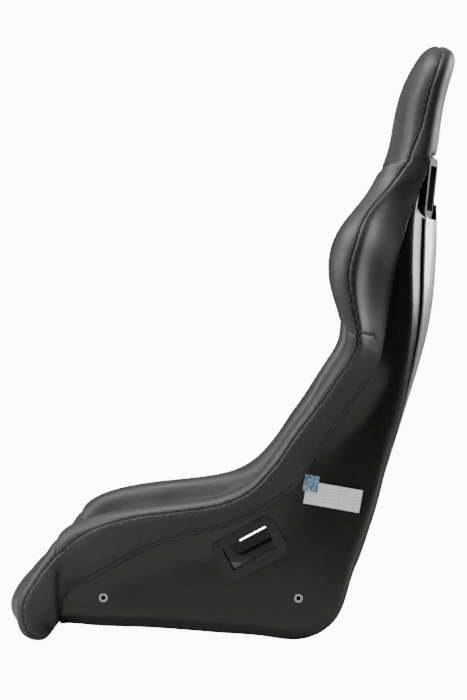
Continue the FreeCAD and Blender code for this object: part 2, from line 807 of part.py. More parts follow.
plateHoles.Type = "ThroughAll"
plateHoles.Midplane = True
doc.recompute()
twin("mount_plate_right", plateBase)


# Threaded inserts: a tube through wall and plate, with a ring outside.

def insertShape(y, z):
    outside = size("side_wall_x") + gap
    body = Part.makeCylinder(size("insert_body") / 2 - gap / 2, size("insert_length"),
                             Vec(outside - size("insert_length"), y, z), Vec(1, 0, 0))
    ring = Part.makeCylinder(size("insert_ring") / 2, size("insert_ring_depth"), Vec(outside, y, z),
                             Vec(1, 0, 0))
    bore = Part.makeCylinder(size("insert_bore") / 2, 60, Vec(outside - 40, y, z), Vec(1, 0, 0))
    return body.fuse(ring).removeSplitter().cut(bore)


inserts = feature("mount_inserts_left", Part.makeCompound([insertShape(y, z) for y, z in insertSpots]))
twin("mount_inserts_right", inserts)

# Blank paper label and foil patch on the left side wall.
labelTilt = math.radians(size("label_tilt"))
for name, kind in (("id_label", "label"), ("foil_patch", "foil")):
    centre = Vec(size("side_wall_x") + (gap if kind == "label" else 2 * gap + size("paper_gauge")), size(kind + "_centre_y"), size(kind + "_centre_z"))
    spot = framed(centre, Vec(0, math.cos(labelTilt), math.sin(labelTilt)), Vec(1, 0, 0))
    patch = bodyNamed(name, spot)
    outline = rectangleSketch(patch, "outline", 0, "sizes.%s_length" % kind, "sizes.%s_depth" % kind)
    padOf(patch, "paper", outline, "sizes.paper_gauge")

doc.recompute()
os.makedirs("parts", exist_ok=True)
for name, piece in made.items():
    shape = piece.Shape
    good = not shape.isNull() and shape.isValid()
    failed = [word for word in piece.State if word in ("Invalid", "Error")]
    print(name, "solids", len(shape.Solids), "volume %.0f" % shape.Volume)
    if failed or not good:
        raise RuntimeError("sub-part %s failed: %s" % (name, failed))
    shape.exportStep("parts/%s.step" % name)
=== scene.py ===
import math
import random
import bmesh
import bpy
from mathutils import Matrix, Vector, noise
from mathutils.bvhtree import BVHTree
from mathutils.kdtree import KDTree


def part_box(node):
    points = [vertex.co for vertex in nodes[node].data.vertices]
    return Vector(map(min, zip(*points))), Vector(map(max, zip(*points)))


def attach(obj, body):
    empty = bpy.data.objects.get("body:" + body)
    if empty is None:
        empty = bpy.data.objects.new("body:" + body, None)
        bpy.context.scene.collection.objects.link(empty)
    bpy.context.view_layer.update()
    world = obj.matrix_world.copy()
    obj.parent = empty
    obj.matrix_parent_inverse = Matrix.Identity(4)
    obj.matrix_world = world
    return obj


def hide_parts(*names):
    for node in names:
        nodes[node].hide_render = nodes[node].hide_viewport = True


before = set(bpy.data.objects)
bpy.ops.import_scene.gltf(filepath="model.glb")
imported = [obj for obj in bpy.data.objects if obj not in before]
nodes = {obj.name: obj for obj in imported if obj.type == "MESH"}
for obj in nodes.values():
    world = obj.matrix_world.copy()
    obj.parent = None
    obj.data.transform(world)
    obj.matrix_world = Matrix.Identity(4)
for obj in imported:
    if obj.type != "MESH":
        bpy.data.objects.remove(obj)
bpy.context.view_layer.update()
collection = bpy.context.scene.collection
mm = 0.001
random.seed(7)
print("frame loaded:", len(nodes), "nodes")


def toLinear(hexColour):
    channels = [int(hexColour[i:i + 2], 16) / 255 for i in (1, 3, 5)]
    return [c / 12.92 if c <= 0.04045 else ((c + 0.055) / 1.055) ** 2.4 for c in channels] + [1.0]


# Settings named like a property set it, and everything else names a socket.
def addNode(tree, kind, settings=None, links=None):
    node = tree.nodes.new(kind)
    for name, value in (settings or {}).items():
        if isinstance(name, str) and hasattr(node, name):
            setattr(node, name, value)
        else:
            node.inputs[name].default_value = value
    for socket, source in (links or {}).items():
        tree.links.new(source, node.inputs[socket])
    return node


def setStops(ramp, stops):
    elements = ramp.color_ramp.elements
    for index, (place, hexColour) in enumerate(stops):
        stop = elements[index] if index < 2 else elements.new(place)
        stop.position = place
        stop.color = toLinear(hexColour)


def startMaterial(name, shaderSettings):
    material = bpy.data.materials.new(name)
    material.use_nodes = True
    tree = material.node_tree
    tree.nodes.clear()
    shader = addNode(tree, "ShaderNodeBsdfPrincipled", shaderSettings)
    output = addNode(tree, "ShaderNodeOutputMaterial")
    tree.links.new(shader.outputs["BSDF"], output.inputs["Surface"])
    where = addNode(tree, "ShaderNodeTexCoord").outputs["Object"]
    return material, tree, shader, where


# Each layer is (socket with the height, strength, depth in metres).
def addBumps(tree, shader, layers):
    normal = None
    for height, strength, depth in layers:
        bump = addNode(tree, "ShaderNodeBump", {"Strength": strength, "Distance": depth}, {"Height": height})
        if normal:
            tree.links.new(normal, bump.inputs["Normal"])
        normal = bump.outputs["Normal"]
    tree.links.new(normal, shader.inputs["Normal"])


# Leatherette: PVC-coated cloth embossed with a fine grain. The eye gets a soft broad highlight, broken up
# by the grain, and tone that drifts a little over each panel. The grain is real size; the colour is darkened
# along the creases between its cells as painted shade, drawn a little coarser than they are, so that they
# show.
leatherLook = {"dark": "#363637", "light": "#404041", "roughness": 0.5, "grainMm": 1.3, "grainDepthMm": 0.16,
               "poreMm": 0.4, "driftMm": 70}


def leatheretteMaterial(name, look):
    material, tree, shader, where = startMaterial(name, {
        "IOR": 1.5, "Sheen Weight": 0.12, "Sheen Roughness": 0.35, "Sheen Tint": toLinear("#c9c9cf")})
    cells = addNode(tree, "ShaderNodeTexVoronoi", {
        "feature": "SMOOTH_F1", "Scale": 1 / (look["grainMm"] * mm), "Smoothness": 0.5}, {"Vector": where})
    pores = addNode(tree, "ShaderNodeTexNoise", {"Scale": 1 / (look["poreMm"] * mm), "Detail": 3.0},
                    {"Vector": where})
    drift = addNode(tree, "ShaderNodeTexNoise", {"Scale": 1 / (look["driftMm"] * mm), "Detail": 4.0},
                    {"Vector": where})
    tone = addNode(tree, "ShaderNodeValToRGB", links={"Fac": drift.outputs["Fac"]})
    setStops(tone, [(0.3, look["dark"]), (0.7, look["light"])])
    # Painted shade: the colour is darkened along the grain's creases.
    creaseShade = addNode(tree, "ShaderNodeValToRGB", links={"Fac": cells.outputs["Distance"]})
    setStops(creaseShade, [(0.25, "#ffffff"), (0.75, "#c8c8c8")])
    colour = addNode(tree, "ShaderNodeMix", {"data_type": "RGBA", "blend_type": "MULTIPLY", 0: 1.0},
                     {6: tone.outputs["Color"], 7: creaseShade.outputs["Color"]})
    tree.links.new(colour.outputs[2], shader.inputs["Base Color"])
    rough = addNode(tree, "ShaderNodeMapRange", {
        "From Min": 0.3, "From Max": 0.7,
        "To Min": look["roughness"] - 0.04, "To Max": look["roughness"] + 0.06},
        {"Value": drift.outputs["Fac"]})
    tree.links.new(rough.outputs["Result"], shader.inputs["Roughness"])
    addBumps(tree, shader, [(cells.outputs["Distance"], 0.5, look["grainDepthMm"] * mm),
                            (pores.outputs["Fac"], 0.4, look["grainDepthMm"] * mm / 2)])
    return material


leatherette = leatheretteMaterial("leatherettePvcEmbossed", leatherLook)


# Gel coat on glass fibre, out of a polished mould: a deep gloss over a colour that is nearly even, with a
# long faint ripple from the cloth under it and a little dust that dulls it.
gelcoatLook = {"rippleMm": 55, "rippleDepthMm": 1.2, "weaveMm": 9, "weaveDepthMm": 0.05, "dustMm": 1.6}


def gelcoatMaterial(name, dark, light, settings):
    material, tree, shader, where = startMaterial(name, settings)
    ripple = addNode(tree, "ShaderNodeTexNoise", {"Scale": 1 / (gelcoatLook["rippleMm"] * mm), "Detail": 1.0},
                     {"Vector": where})
    weave = addNode(tree, "ShaderNodeTexNoise", {"Scale": 1 / (gelcoatLook["weaveMm"] * mm), "Detail": 2.0},
                    {"Vector": where})
    dust = addNode(tree, "ShaderNodeTexNoise", {"Scale": 1 / (gelcoatLook["dustMm"] * mm), "Detail": 4.0},
                   {"Vector": where})
    tone = addNode(tree, "ShaderNodeValToRGB", links={"Fac": dust.outputs["Fac"]})
    setStops(tone, [(0.4, dark), (0.8, light)])
    tree.links.new(tone.outputs["Color"], shader.inputs["Base Color"])
    dulled = addNode(tree, "ShaderNodeMapRange", {
        "From Min": 0.35, "From Max": 0.8,
        "To Min": settings["Roughness"], "To Max": settings["Roughness"] + 0.12},
        {"Value": dust.outputs["Fac"]})
    tree.links.new(dulled.outputs["Result"], shader.inputs["Roughness"])
    addBumps(tree, shader, [(ripple.outputs["Fac"], 0.12, gelcoatLook["rippleDepthMm"] * mm),
                            (weave.outputs["Fac"], 0.1, gelcoatLook["weaveDepthMm"] * mm)])
    return material


gelcoatBlack = gelcoatMaterial("gelcoatBlackMoulded", "#0b0b0a", "#171614",
                               {"Roughness": 0.3, "IOR": 1.54, "Coat Weight": 0.15, "Coat Roughness": 0.16})
gelcoatSilver = gelcoatMaterial("gelcoatSilverMoulded", "#cfd0d2", "#e2e2e4",
                                {"Roughness": 0.3, "IOR": 1.54, "Metallic": 0.35, "Coat Weight": 0.4,
                                 "Coat Roughness": 0.1})


# Moulded ABS with a spark-eroded texture: dull, with fine glints painted lighter into its colour on the high
# points of the texture.
def absMaterial(name, dark, light):
    material, tree, shader, where = startMaterial(name, {"Roughness": 0.5, "IOR": 1.53})
    sparkAndGlint = addNode(tree, "ShaderNodeTexNoise", {"Scale": 1 / (0.9 * mm), "Detail": 4.0}, {"Vector": where})
    # Painted highlight: the colour is lighter where the texture stands highest.
    tone = addNode(tree, "ShaderNodeValToRGB", links={"Fac": sparkAndGlint.outputs["Fac"]})
    setStops(tone, [(0.35, dark), (0.7, light)])
    tree.links.new(tone.outputs["Color"], shader.inputs["Base Color"])
    addBumps(tree, shader, [(sparkAndGlint.outputs["Fac"], 0.6, 0.25 * mm)])
    return material


absTextured = absMaterial("absSparkTextured", "#141415", "#2a2a2c")


# Zinc-plated steel: bright, with the soft cloudiness of the plating bath.
def zincMaterial(name, roughness):
    material, tree, shader, where = startMaterial(name, {"Metallic": 1.0, "Roughness": roughness})
    clouds = addNode(tree, "ShaderNodeTexNoise", {"Scale": 1 / (3 * mm), "Detail": 4.0}, {"Vector": where})
    tone = addNode(tree, "ShaderNodeValToRGB", links={"Fac": clouds.outputs["Fac"]})
    setStops(tone, [(0.3, "#a9acaf"), (0.7, "#dadcdd")])
    tree.links.new(tone.outputs["Color"], shader.inputs["Base Color"])
    addBumps(tree, shader, [(clouds.outputs["Fac"], 0.2, 0.05 * mm)])
    return material


zincPlated = zincMaterial("zincPlatedSteelTurned", 0.25)
mildSteel = zincMaterial("mildSteelRolled", 0.42)


# Open-cell polyurethane foam: matt and porous, with painted shade that darkens the colour in its pits.
def foamMaterial(name):
    material, tree, shader, where = startMaterial(name, {"Roughness": 0.95, "IOR": 1.45})
    pores = addNode(tree, "ShaderNodeTexVoronoi", {"Scale": 1 / (1.6 * mm)}, {"Vector": where})
    # Painted shade: darkest at the bottom of each pore.
    tone = addNode(tree, "ShaderNodeValToRGB", links={"Fac": pores.outputs["Distance"]})
    setStops(tone, [(0.0, "#161617"), (0.6, "#333336")])
    tree.links.new(tone.outputs["Color"], shader.inputs["Base Color"])
    addBumps(tree, shader, [(pores.outputs["Distance"], 0.8, 0.6 * mm)])
    return material


foamOpenCell = foamMaterial("polyurethaneFoamOpenCell")


# Woven nylon hook tape: short dark loops in rows.
def hookMaterial(name):
    material, tree, shader, where = startMaterial(name, {"Roughness": 0.8, "IOR": 1.53})
    rows = addNode(tree, "ShaderNodeTexVoronoi", {"Scale": 1 / (1.5 * mm), "Randomness": 0.2},
                   {"Vector": where})
    tone = addNode(tree, "ShaderNodeValToRGB", links={"Fac": rows.outputs["Distance"]})
    setStops(tone, [(0.1, "#1f1f21"), (0.6, "#0d0d0e")])
    tree.links.new(tone.outputs["Color"], shader.inputs["Base Color"])
    addBumps(tree, shader, [(rows.outputs["Distance"], 0.7, 0.8 * mm)])
    return material


hookTape = hookMaterial("nylonHookTapeWoven")

# Printed paper label: white stock with plain faint rules and no words. The rules lie along the label.
labelLook = {"tiltDeg": 9.9, "ruleMm": 5.2, "columnMm": 21}


def labelMaterial(name, look):
    material, tree, shader, where = startMaterial(name, {"Roughness": 0.38, "IOR": 1.5})
    turned = addNode(tree, "ShaderNodeMapping", {"Rotation": (math.radians(look["tiltDeg"]), 0, 0)},
                     {"Vector": where})
    parts = addNode(tree, "ShaderNodeSeparateXYZ", links={"Vector": turned.outputs["Vector"]})
    lines = []
    for axis, spacing, width in (("Z", look["ruleMm"], 0.12), ("Y", look["columnMm"], 0.03)):
        share = addNode(tree, "ShaderNodeMath", {"operation": "MULTIPLY", 1: 1 / (spacing * mm)},
                        {0: parts.outputs[axis]})
        wrapped = addNode(tree, "ShaderNodeMath", {"operation": "FRACT"}, {0: share.outputs[0]})
        lines.append(addNode(tree, "ShaderNodeMath", {"operation": "LESS_THAN", 1: width},
                             {0: wrapped.outputs[0]}).outputs[0])
    either = addNode(tree, "ShaderNodeMath", {"operation": "MAXIMUM"}, {0: lines[0], 1: lines[1]})
    tone = addNode(tree, "ShaderNodeValToRGB", links={"Fac": either.outputs[0]})
    setStops(tone, [(0.0, "#eeeff0"), (1.0, "#b4b8bd")])
    tree.links.new(tone.outputs["Color"], shader.inputs["Base Color"])
    return material


paperLabel = labelMaterial("paperLabelPrinted", labelLook)


# Embossed foil: pale blue metal that shifts towards silver from patch to patch.
def foilMaterial(name):
    material, tree, shader, where = startMaterial(name, {"Metallic": 0.7, "Roughness": 0.3})
    patches = addNode(tree, "ShaderNodeTexVoronoi", {"Scale": 1 / (4 * mm)}, {"Vector": where})
    tone = addNode(tree, "ShaderNodeValToRGB", links={"Fac": patches.outputs["Distance"]})
    setStops(tone, [(0.0, "#3f7fb8"), (0.5, "#9cc4df"), (0.8, "#e3edf2")])
    tree.links.new(tone.outputs["Color"], shader.inputs["Base Color"])
    addBumps(tree, shader, [(patches.outputs["Distance"], 0.3, 0.1 * mm)])
    return material


foilPatch = foilMaterial("polyesterFoilEmbossed")


# Bonded polyester sewing thread, a touch lighter than the leatherette, with its twist.
def threadMaterial(name, dark, light):
    material, tree, shader, where = startMaterial(name, {"Roughness": 0.5, "IOR": 1.55, "Sheen Weight": 0.2})
    twist = addNode(tree, "ShaderNodeTexNoise", {"Scale": 1 / (0.5 * mm), "Detail": 2.0}, {"Vector": where})
    tone = addNode(tree, "ShaderNodeValToRGB", links={"Fac": twist.outputs["Fac"]})
    setStops(tone, [(0.35, dark), (0.65, light)])
    tree.links.new(tone.outputs["Color"], shader.inputs["Base Color"])
    addBumps(tree, shader, [(twist.outputs["Fac"], 0.5, 0.15 * mm)])
    return material


thread = threadMaterial("polyesterThreadBonded", "#3a3a3c", "#77777b")
# Painted shade: a near-black thread colour for the seam bead, which stands in for the shade in the seam gaps.
seamShadowDark = threadMaterial("seamShadowBeadBlack", "#0b0b0c", "#161618")

finishes = {"seat_shell": gelcoatBlack, "back_panel": gelcoatSilver, "id_label": paperLabel,
            "foil_patch": foilPatch}
finishByWord = [("bezel", absTextured), ("foam", foamOpenCell), ("hook", hookTape), ("plate", mildSteel),
                ("inserts", zincPlated), ("cover", leatherette), ("cushion", leatherette)]
for name, thing in nodes.items():
    finish = finishes.get(name) or next(found for word, found in finishByWord if word in name)
    thing.data.materials.clear()
    thing.data.materials.append(finish)
print("materials done")


# Upholstery. The leather panels and the foam under them become one soft skin, which is then puffed, and
# gets its seams and stitches.

def copyOf(name):
    mesh = bmesh.new()
    mesh.from_mesh(nodes[name].data)
    bmesh.ops.remove_doubles(mesh, verts=mesh.verts, dist=0.01 * mm)
    return mesh


def treeOf(meshes):
    whole = bmesh.new()
    for mesh in meshes:
        part = bpy.data.meshes.new("part")
        mesh.to_mesh(part)
        whole.from_mesh(part)
        bpy.data.meshes.remove(part)
    tree = BVHTree.FromBMesh(whole)
    whole.free()
    return tree


def objectFrom(name, mesh):
    data = bpy.data.meshes.new(name)
    mesh.to_mesh(data)
    mesh.free()
    thing = bpy.data.objects.new(name, data)
    collection.objects.link(thing)
    return thing


# Applies an object's modifiers and gives the result as a bmesh.
def baked(thing):
    bpy.context.view_layer.update()
    graph = bpy.context.evaluated_depsgraph_get()
    data = bpy.data.meshes.new_from_object(thing.evaluated_get(graph))
    mesh = bmesh.new()
    mesh.from_mesh(data)
    bpy.data.meshes.remove(data)
    bpy.data.objects.remove(thing)
    return mesh


# The outside of a thin cover only: its faces that look away from what the cover lies on.
def outsideOf(name, backing):
    mesh = copyOf(name)
    reach = 2 * mm
    inner = []
    for face in mesh.faces:
        centre = face.calc_center_median()
        above = backing.find_nearest(centre + face.normal * reach)[3]
        below = backing.find_nearest(centre - face.normal * reach)[3]
        if above - below < 0.75 * reach:
            inner.append(face)
    bmesh.ops.delete(mesh, geom=inner, context="FACES")
    return mesh


skinLook = {"voxelMm": 3.6, "backMm": 6, "smoothRounds": 4, "snapMm": 5}


# One closed soft skin round a set of foams and covers. Covers get 6 mm of back so that no voxel misses them.
def softSkin(name, foams, covers, supports, voxelMm):
    backing = treeOf([copyOf(n) for n in foams + supports])
    faces = [outsideOf(n, backing) for n in covers]
    target = treeOf(faces)
    whole = bmesh.new()
    for mesh in faces:
        sheet = objectFrom("panel", mesh)
        solid = sheet.modifiers.new("back", "SOLIDIFY")
        solid.thickness = skinLook["backMm"] * mm
        solid.offset = -1
        thick = baked(sheet)
        part = bpy.data.meshes.new("part")
        thick.to_mesh(part)
        thick.free()
        whole.from_mesh(part)
    for n in foams:
        whole.from_mesh(nodes[n].data)
    bmesh.ops.remove_doubles(whole, verts=whole.verts, dist=0.01 * mm)
    thing = objectFrom(name, whole)
    remesh = thing.modifiers.new("voxels", "REMESH")
    remesh.mode = "VOXEL"
    remesh.voxel_size = voxelMm * mm
    mesh = baked(thing)
    keepLargest(mesh)
    for _ in range(skinLook["smoothRounds"]):
        evened(mesh, mesh.verts)
    for vert in mesh.verts:
        spot, _, _, far = target.find_nearest(vert.co)
        if far < skinLook["snapMm"] * mm:
            vert.co = vert.co.lerp(spot, 0.85)
    evened(mesh, mesh.verts)
    print(name, "skin:", len(mesh.verts), "points")
    return mesh


# One round of smoothing.
def evened(mesh, verts):
    bmesh.ops.smooth_vert(mesh, verts=verts, factor=0.5, use_axis_x=True, use_axis_y=True, use_axis_z=True)


# Drops everything that is not joined to the largest island, such as the inside of a hollow.
def keepLargest(mesh):
    left = set(mesh.verts)
    islands = []
    while left:
        front = [left.pop()]
        island = list(front)
        while front:
            vert = front.pop()
            for edge in vert.link_edges:
                other = edge.other_vert(vert)
                if other in left:
                    left.remove(other)
                    front.append(other)
                    island.append(other)
        islands.append(island)
    islands.sort(key=len)
    bmesh.ops.delete(mesh, geom=[vert for island in islands[:-1] for vert in island], context="VERTS")
    bmesh.ops.recalc_face_normals(mesh, faces=mesh.faces)


curveSteps = 40


# Even points along a smooth line through a few given ones.
def smoothLine(points, step=1.0):
    stops = [Vector(p) * mm for p in points]
    ends = [2 * stops[0] - stops[1]] + stops + [2 * stops[-1] - stops[-2]]
    fine = []
    for a, b, c, d in zip(ends, ends[1:], ends[2:], ends[3:]):
        for index in range(curveSteps):
            t = index / curveSteps
            fine.append(0.5 * (2 * b + (c - a) * t + (2 * a - 5 * b + 4 * c - d) * t * t
                               + (3 * b - a - 3 * c + d) * t ** 3))
    fine.append(stops[-1])
    even = [fine[0]]
    carried = 0.0
    for a, b in zip(fine, fine[1:]):
        carried += (b - a).length
        if carried >= step * mm:
            even.append(b)
            carried = 0.0
    return even


def onBothSides(points):
    return [points, [(-x, y, z) for x, y, z in points]]


# Seams, in millimetres: the long one from the front tip over thigh, waist, wing and headrest, and short
# ones across. The short ones at the knee, waist and headrest meet the long one. The long one's points up
# to the headrest are the seam of each CAD section of the tub, rounded to a millimetre.
sideSeam = [(226, -267, 9), (228, -281, 8), (230, -294, 16), (233, -301, 34), (236, -302, 53),
            (239, -294, 75), (241, -284, 90), (242, -275, 104), (244, -264, 117), (244, -252, 130),
            (249, -205, 167), (250, -140, 188), (249, -75, 197), (246, -14, 206), (240, 33, 226),
            (235, 71, 264), (234, 93, 296), (234, 114, 325), (240, 139, 358), (254, 163, 394),
            (269, 183, 425), (277, 192, 455), (280, 184, 497), (278, 178, 546), (262, 189, 593),
            (221, 205, 634), (169, 235, 670), (135, 269, 714), (130, 275, 730), (124, 290, 768),
            (120, 303, 822), (113, 313, 852), (94, 320, 874), (62, 323, 888), (26, 321, 896)]
seamPlan = {
    "side": onBothSides(sideSeam),
    "top": [[(-26, 321, 896), (0, 320, 897), (26, 321, 896)]],
    "knee": onBothSides([(244, -252, 131), (238, -253, 146), (226, -254, 153), (212, -254, 154),
                         (196, -252, 148), (186, -250, 130), (182, -249, 112)]),
    "wing": onBothSides([(278, 193, 458), (270, 210, 459), (258, 228, 457), (250, 238, 456)]),
    "waist": onBothSides([(278, 190, 456), (272, 178, 462), (262, 172, 466), (246, 176, 466), (236, 190, 462),
                          (228, 210, 452)]),
    "headrest": [[(136, 270, 714), (130, 252, 709), (112, 238, 704), (84, 231, 702), (44, 229, 701),
                  (0, 228, 701), (-44, 229, 701), (-84, 231, 702), (-112, 238, 704), (-130, 252, 709),
                  (-136, 270, 714)]],
}
seamLook = {"depthMm": 1.6, "halfWidthMm": 1.2, "swellMm": 0.8, "swellReachMm": 9, "puckerMm": 0.14,
            "puckerPitchMm": 13, "puckerReachMm": 7, "rowMm": 4.0, "stitchMm": 4.2, "pitchMm": 5.6,
            "threadMm": 0.85}


# The hem line a finger's width inside the lower edge of the thigh leather. Its points lie 9 mm inside the
# edge of each CAD section of the tub, rounded to a millimetre.
hemLine = [(204, -252, 53), (213, -205, 99), (215, -140, 136), (217, -75, 161), (217, -13, 177),
           (214, 36, 196), (212, 78, 221), (210, 105, 247), (208, 127, 281), (209, 154, 322),
           (213, 181, 362), (217, 204, 399)]
hemLook = {"depthMm": 0.7, "halfWidthMm": 1.5, "swellMm": 0.4, "swellReachMm": 5, "puckerMm": 0.05,
           "puckerPitchMm": 13, "puckerReachMm": 7}


# Lays each line on the surface.
def laidOn(lines, mesh):
    tree = BVHTree.FromBMesh(mesh)
    return [[tree.find_nearest(point)[0] for point in line] for line in lines]


def lineTree(lines):
    points = [(point, index) for line in lines for index, point in enumerate(line)]
    tree = KDTree(len(points))
    for point, index in points:
        tree.insert(point, index)
    tree.balance()
    return tree, points


# Sews the lines into a soft skin: finer faces near them, then a groove, swollen edges and small puckers.
def sew(mesh, lines, look):
    tree, points = lineTree(lines)
    for reachMm in (9.0, 4.5):
        near = [e for e in mesh.edges
                if tree.find((e.verts[0].co + e.verts[1].co) / 2)[2] < reachMm * mm]
        bmesh.ops.subdivide_edges(mesh, edges=near, cuts=1, use_grid_fill=True)
        bmesh.ops.triangulate(mesh, faces=[f for f in mesh.faces if len(f.verts) > 4])
    mesh.normal_update()
    moves = []
    for vert in mesh.verts:
        _, found, far = tree.find(vert.co)
        d = far / mm
        if d > 5 * look["swellReachMm"]:
            continue
        along = points[found][1]
        groove = -look["depthMm"] * math.exp(-(d / look["halfWidthMm"]) ** 2)
        swell = look["swellMm"] * d / look["swellReachMm"] * math.exp(1 - d / look["swellReachMm"])
        wander = noise.noise(Vector((along * 0.021, 0, 3.1)))
        pucker = look["puckerMm"] * math.sin(2 * math.pi * along / look["puckerPitchMm"] + 6 * wander) \
            * math.exp(-(d / look["puckerReachMm"]) ** 2)
        moves.append((vert, vert.normal * ((groove + swell + pucker) * mm)))
    for vert, move in moves:
        vert.co += move


# Two rows of stitches beside each line, as one mesh of small rounded threads.
def stitches(name, mesh, lines, look, rows=(-1, 1)):
    tree = BVHTree.FromBMesh(mesh)
    sewn = bmesh.new()
    count = 0
    stepCount = round(look["pitchMm"])
    for line in lines:
        for row in rows:
            for index in range(4, len(line) - 4, stepCount):
                along = (line[index + 3] - line[index - 3]).normalized()
                _, normal, _, _ = tree.find_nearest(line[index])
                aside = along.cross(normal).normalized()
                spot, normal, _, _ = tree.find_nearest(line[index] + aside * row * look["rowMm"] * mm)
                along = (along - normal * along.dot(normal)).normalized()
                across = normal.cross(along)
                turn = Matrix((along, across, normal)).transposed().to_4x4()
                shape = Matrix.Diagonal((look["stitchMm"] / 2, look["threadMm"] / 2, look["threadMm"] / 2, 1))
                place = Matrix.Translation(spot + normal * 0.1 * mm) @ turn @ Matrix.Scale(mm, 4) @ shape
                bmesh.ops.create_uvsphere(sewn, u_segments=6, v_segments=4, radius=1, matrix=place)
                count += 1
    thing = objectFrom(name, sewn)
    thing.data.materials.append(thread)
    smoothFaces(thing)
    print(name, count, "stitches")
    return thing


def smoothFaces(thing):
    for face in thing.data.polygons:
        face.use_smooth = True


# Painted shade: a thin dark bead at the bottom of each seam, standing in for the shade between the butted
# edges.
def seamShadeBeads(name, mesh, lines, radiusMm=0.6):
    tree = BVHTree.FromBMesh(mesh)
    curve = bpy.data.curves.new(name, "CURVE")
    curve.dimensions = "3D"
    curve.bevel_depth = radiusMm * mm
    curve.bevel_resolution = 1
    for line in lines:
        spots = [tree.find_nearest(point)[0] for point in line[::3]]
        strand = curve.splines.new("POLY")
        strand.points.add(len(spots) - 1)
        for point, spot in zip(strand.points, spots):
            point.co = (*spot, 1)
    thing = bpy.data.objects.new(name, curve)
    collection.objects.link(thing)
    bead = objectFrom(name, baked(thing))
    bead.data.materials.append(seamShadowDark)
    smoothFaces(bead)
    return bead


# Slack in the skin: broad, shallow unevenness as in foam that has been sat on and pulled over.
def loosen(mesh, heightMm, sizeMm):
    mesh.normal_update()
    for vert in mesh.verts:
        lift = noise.noise(vert.co / (sizeMm * mm)) * heightMm * mm
        vert.co += vert.normal * lift


skinSlack = {"heightMm": 1.0, "sizeMm": 60}
yokeSlack = {"heightMm": 0.6, "sizeMm": 40}
padSlack = {"heightMm": 0.8, "sizeMm": 45}
sideNodes = [word + "_" + side for word in ("thigh_foam", "wing_foam") for side in ("left", "right")]
coverWords = ("nose_cover", "thigh_cover_outer", "thigh_cover_inner", "wing_cover_outer", "wing_cover_inner")
coverNodes = [word + "_" + side for word in coverWords for side in ("left", "right")]
skinFoams = sideNodes + ["lip_foam", "headrest_foam"]
skinCovers = coverNodes + ["lip_cover", "headrest_cover_front", "headrest_cover_rear"]
skin = softSkin("bolsterSkin", skinFoams, skinCovers, ["seat_shell"], skinLook["voxelMm"])
kneeLook = {"fromY": -0.285, "toY": -0.215, "pastX": 0.15, "smoothRounds": 4}
knee = [v for v in skin.verts
        if kneeLook["fromY"] < v.co.y < kneeLook["toY"] and abs(v.co.x) > kneeLook["pastX"]]
for _ in range(kneeLook["smoothRounds"]):
    evened(skin, knee)
loosen(skin, skinSlack["heightMm"], skinSlack["sizeMm"])
seamLines = laidOn([smoothLine(points) for group in seamPlan.values() for points in group], skin)
sew(skin, seamLines, seamLook)
hemLines = laidOn([smoothLine(points) for points in onBothSides(hemLine)], skin)
sew(skin, hemLines, hemLook)
bolsterStitches = stitches("bolsterStitches", skin, seamLines, seamLook)
seamShadowBeads = seamShadeBeads("seamShadowBeads", skin, seamLines)
bolsters = objectFrom("bolsterSkin", skin)
bolsters.data.materials.append(leatherette)
smoothFaces(bolsters)
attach(bolsters, "root")
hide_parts(*(skinFoams + skinCovers))
for piece in (bolsterStitches, seamShadowBeads):
    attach(piece, "root")
print("bolsters done")

# The yoke between the shoulder slots is a flat pad with its own skin.
yokeVoxelMm = 3.0
yokeMesh = softSkin("yokePad", ["yoke_foam"], ["yoke_cover"], ["seat_shell"], yokeVoxelMm)
loosen(yokeMesh, yokeSlack["heightMm"], yokeSlack["sizeMm"])
yoke = objectFrom("yokePad", yokeMesh)
yoke.data.materials.append(leatherette)
smoothFaces(yoke)
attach(yoke, "root")
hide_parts("yoke_foam", "yoke_cover")


# Loose pads: the seat cushion and the back cushion, blown up a little as cloth over foam, with sewn
# channels across them. Places of the channels are shares of the pad's length.
padPlan = {
    "seatPad": {"node": "seat_cushion", "channels": (0.28, 0.52, 0.76), "axis": 1, "out": (0, 0, 1)},
    "backPad": {"node": "back_cushion", "channels": (0.2, 0.4, 0.6, 0.8), "axis": 2, "out": (0, -1, 0)},
}
padLook = {"voxelMm": 5, "shrinkMm": 3.0, "pressure": 4, "quality": 6, "frames": 20,
           "capMm": 7, "smoothRounds": 4}
channelLook = {"depthMm": 3.2, "halfWidthMm": 3.0, "swellMm": 1.6, "swellReachMm": 14, "puckerMm": 0.3,
               "puckerPitchMm": 12, "puckerReachMm": 7, "rowMm": 4.0, "stitchMm": 4.2, "pitchMm": 5.6,
               "threadMm": 0.85}


def blownPad(name, plan):
    thing = objectFrom(name, copyOf(plan["node"]))
    remesh = thing.modifiers.new("voxels", "REMESH")
    remesh.mode = "VOXEL"
    remesh.voxel_size = padLook["voxelMm"] * mm
    mesh = baked(thing)
    keepLargest(mesh)
    for _ in range(padLook["smoothRounds"]):
        evened(mesh, mesh.verts)
    mesh.normal_update()
    for vert in mesh.verts:
        vert.co -= vert.normal * padLook["shrinkMm"] * mm
    start = [vert.co.copy() for vert in mesh.verts]
    thing = objectFrom(name, mesh)
    cloth = thing.modifiers.new("cloth", "CLOTH")
    cloth.settings.quality = padLook["quality"]
    cloth.settings.use_pressure = True
    cloth.settings.uniform_pressure_force = padLook["pressure"]
    cloth.settings.effector_weights.gravity = 0
    for step in range(1, padLook["frames"] + 1):
        bpy.context.scene.frame_set(step)
    mesh = baked(thing)
    bpy.context.scene.frame_set(1)
    mesh.verts.ensure_lookup_table()
    for vert, home in zip(mesh.verts, start):
        move = vert.co - home
        if move.length > padLook["capMm"] * mm:
            vert.co = home + move.normalized() * padLook["capMm"] * mm
    evened(mesh, mesh.verts)
    thing = objectFrom(name, mesh)
    finer = thing.modifiers.new("finer", "SUBSURF")
    finer.levels = finer.render_levels = 1
    mesh = baked(thing)
    print(name, "pad:", len(mesh.verts), "points")
    return mesh


channelMarginMm = 8


